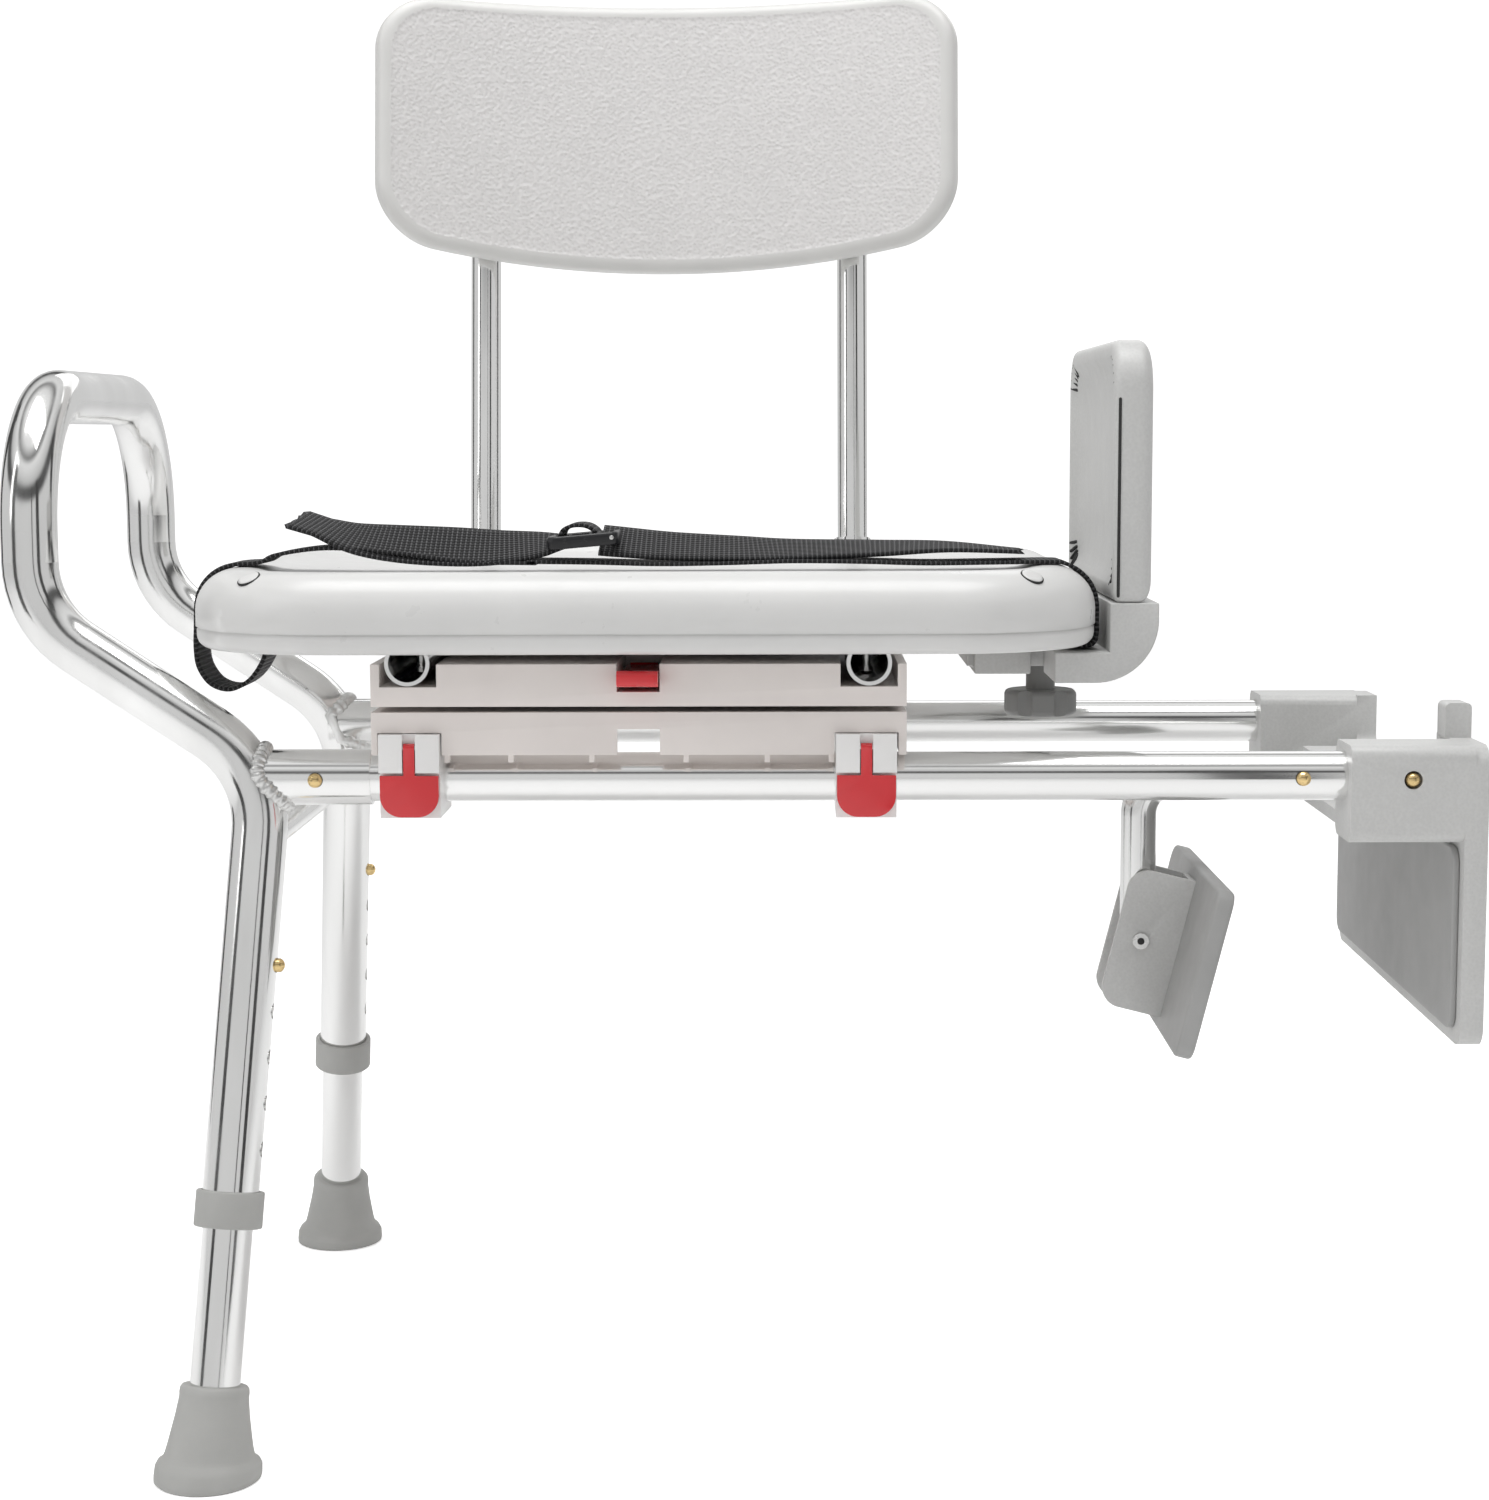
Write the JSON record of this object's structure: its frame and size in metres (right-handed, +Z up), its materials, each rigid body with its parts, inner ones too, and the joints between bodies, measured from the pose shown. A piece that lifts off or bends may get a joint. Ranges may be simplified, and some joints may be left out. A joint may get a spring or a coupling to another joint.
{
  "type": "bath transfer bench",
  "caption": "Tub-mounted sliding transfer bench with a swivel seat, backrest, side arm, lap belt, grab loop and telescopic legs.",
  "frame": {"origin": "on the floor, under the middle of the whole bench's box", "axes": "+X along the rails from the grab loop to the tub hook, +Y from the seat's front to the backrest, +Z up"},
  "size_m": [0.8389, 0.5563, 0.8804],
  "materials": {
    "polished_aluminium": "bright drawn tube",
    "seat_plastic": "fine moulded leather grain",
    "bracket_plastic": "light grey moulded",
    "cream_plastic": "smooth moulded",
    "dark_plastic": "mid grey moulded",
    "red_plastic": "glossy moulded",
    "grey_rubber": "moulded rubber",
    "brass": "polished",
    "steel": "plated",
    "webbing": "woven webbing",
    "buckle_plastic": "moulded"
  },
  "bodies": {
    "bench_frame": {"leg_frame": "polished_aluminium", "rail_sleeve_front": "polished_aluminium", "rail_sleeve_rear": "polished_aluminium", "leg_collar_front": "grey_rubber", "leg_collar_rear": "grey_rubber", "leg_cross_bar": "polished_aluminium", "rail_front": "polished_aluminium", "rail_rear": "polished_aluminium", "tub_hook": "bracket_plastic", "hook_pad": "grey_rubber", "clamp_socket": "polished_aluminium"},
    "leg_front": {"leg_extension_front": "polished_aluminium", "foot_tip_front": "grey_rubber"},
    "leg_rear": {"leg_extension_rear": "polished_aluminium", "foot_tip_rear": "grey_rubber"},
    "clamp": {"clamp_arm": "polished_aluminium"},
    "clamp_face": {"pad_yoke": "bracket_plastic", "clamp_pad": "grey_rubber", "pad_rivet": "steel"},
    "carriage": {"carriage_base": "cream_plastic", "glide_front_left": "cream_plastic", "glide_front_right": "cream_plastic", "glide_rear_left": "cream_plastic", "glide_rear_right": "cream_plastic", "lever_pin_left": "steel", "lever_pin_right": "steel", "swivel_ring": "dark_plastic", "swivel_bolt": "steel"},
    "lock_left": {"lock_lever_left": "red_plastic"},
    "lock_right": {"lock_lever_right": "red_plastic"},
    "swivel_seat": {"swivel_deck": "cream_plastic", "release_pin": "steel", "seat_tube_left": "polished_aluminium", "seat_tube_right": "polished_aluminium", "seat": "seat_plastic", "seat_screws": "steel", "arm_guide": "bracket_plastic", "arm_stud": "steel", "belt_lap": "webbing", "belt_loop": "webbing", "belt_end_left": "webbing", "belt_end_right": "webbing", "belt_buckle": "buckle_plastic"},
    "release": {"swivel_release": "red_plastic"},
    "backrest": {"back_post_left": "polished_aluminium", "back_post_right": "polished_aluminium", "back_panel": "seat_plastic", "back_screws": "steel"},
    "side_arm": {"arm_panel": "bracket_plastic", "arm_elbow": "bracket_plastic"},
    "knob": {"arm_knob": "dark_plastic"},
    "leg_button_front_body": {"leg_button_front": "brass"},
    "sleeve_button_front_body": {"sleeve_button_front": "brass"},
    "rail_stop_button_front_body": {"rail_stop_button_front": "brass"},
    "hook_button_front_body": {"hook_button_front": "brass"},
    "leg_button_rear_body": {"leg_button_rear": "brass"},
    "sleeve_button_rear_body": {"sleeve_button_rear": "brass"},
    "rail_stop_button_rear_body": {"rail_stop_button_rear": "brass"},
    "hook_button_rear_body": {"hook_button_rear": "brass"}
  },
  "joints": [
    {"name": "carriage_slide", "type": "slide", "parent": "bench_frame", "child": "carriage", "axis": [1, 0, 0], "range_m": [0, 0.215]},
    {"name": "seat_swivel", "type": "hinge", "parent": "carriage", "child": "swivel_seat", "pos_m": [-0.057, -0.0162, 0.43], "axis": [0, 0, 1], "range_deg": [-40, 90]},
    {"name": "backrest_lift", "type": "slide", "parent": "swivel_seat", "child": "backrest", "axis": [0, 0.1392, 0.9903], "range_m": [0, 0.02]},
    {"name": "arm_width", "type": "slide", "parent": "swivel_seat", "child": "side_arm", "axis": [1, 0, 0], "range_m": [0, 0.026]},
    {"name": "knob_turn", "type": "hinge", "parent": "swivel_seat", "child": "knob", "pos_m": [0.1835, -0.0162, 0.413], "axis": [0, 0, 1], "continuous": true},
    {"name": "release_lift", "type": "hinge", "parent": "swivel_seat", "child": "release", "pos_m": [-0.057, -0.1282, 0.4435], "axis": [-1, 0, 0], "range_deg": [0, 5], "stiffness_Nm_per_rad": 3, "springref_deg": -2.86},
    {"name": "lock_left_pull", "type": "hinge", "parent": "carriage", "child": "lock_left", "pos_m": [-0.1855, -0.1987, 0.405], "axis": [-1, 0, 0], "range_deg": [0, 35], "stiffness_Nm_per_rad": 0.1, "springref_deg": -5.73},
    {"name": "lock_right_pull", "type": "hinge", "parent": "carriage", "child": "lock_right", "pos_m": [0.0705, -0.1987, 0.405], "axis": [-1, 0, 0], "range_deg": [0, 35], "stiffness_Nm_per_rad": 0.1, "springref_deg": -5.73},
    {"name": "clamp_slide", "type": "slide", "parent": "bench_frame", "child": "clamp", "axis": [1, 0, 0], "range_m": [-0.06, 0]},
    {"name": "pad_tilt", "type": "hinge", "parent": "clamp", "child": "clamp_face", "pos_m": [0.2455, -0.0162, 0.265], "axis": [0, 1, 0], "range_deg": [-22, 3]},
    {"name": "leg_front_slide", "type": "slide", "parent": "bench_frame", "child": "leg_front", "axis": [-0.0652, -0.2005, -0.9775], "range_m": [0, 0.1016]},
    {"name": "leg_rear_slide", "type": "slide", "parent": "bench_frame", "child": "leg_rear", "axis": [-0.0652, 0.2005, -0.9775], "range_m": [0, 0.1016]},
    {"name": "leg_press_front", "type": "slide", "parent": "bench_frame", "child": "leg_button_front_body", "axis": [-1, 0, 0], "range_m": [0, 0.0025], "stiffness_N_per_m": 400, "springref_m": -0.001},
    {"name": "sleeve_press_front", "type": "slide", "parent": "bench_frame", "child": "sleeve_button_front_body", "axis": [0, 1, 0], "range_m": [0, 0.0025], "stiffness_N_per_m": 400, "springref_m": -0.001},
    {"name": "rail_stop_press_front", "type": "slide", "parent": "bench_frame", "child": "rail_stop_button_front_body", "axis": [0, 1, 0], "range_m": [0, 0.0025], "stiffness_N_per_m": 400, "springref_m": -0.001},
    {"name": "hook_press_front", "type": "slide", "parent": "bench_frame", "child": "hook_button_front_body", "axis": [0, 1, 0], "range_m": [0, 0.0025], "stiffness_N_per_m": 400, "springref_m": -0.001},
    {"name": "leg_press_rear", "type": "slide", "parent": "bench_frame", "child": "leg_button_rear_body", "axis": [-1, 0, 0], "range_m": [0, 0.0025], "stiffness_N_per_m": 400, "springref_m": -0.001},
    {"name": "sleeve_press_rear", "type": "slide", "parent": "bench_frame", "child": "sleeve_button_rear_body", "axis": [0, -1, 0], "range_m": [0, 0.0025], "stiffness_N_per_m": 400, "springref_m": -0.001},
    {"name": "rail_stop_press_rear", "type": "slide", "parent": "bench_frame", "child": "rail_stop_button_rear_body", "axis": [0, -1, 0], "range_m": [0, 0.0025], "stiffness_N_per_m": 400, "springref_m": -0.001},
    {"name": "hook_press_rear", "type": "slide", "parent": "bench_frame", "child": "hook_button_rear_body", "axis": [0, -1, 0], "range_m": [0, 0.0025], "stiffness_N_per_m": 400, "springref_m": -0.001}
  ]
}
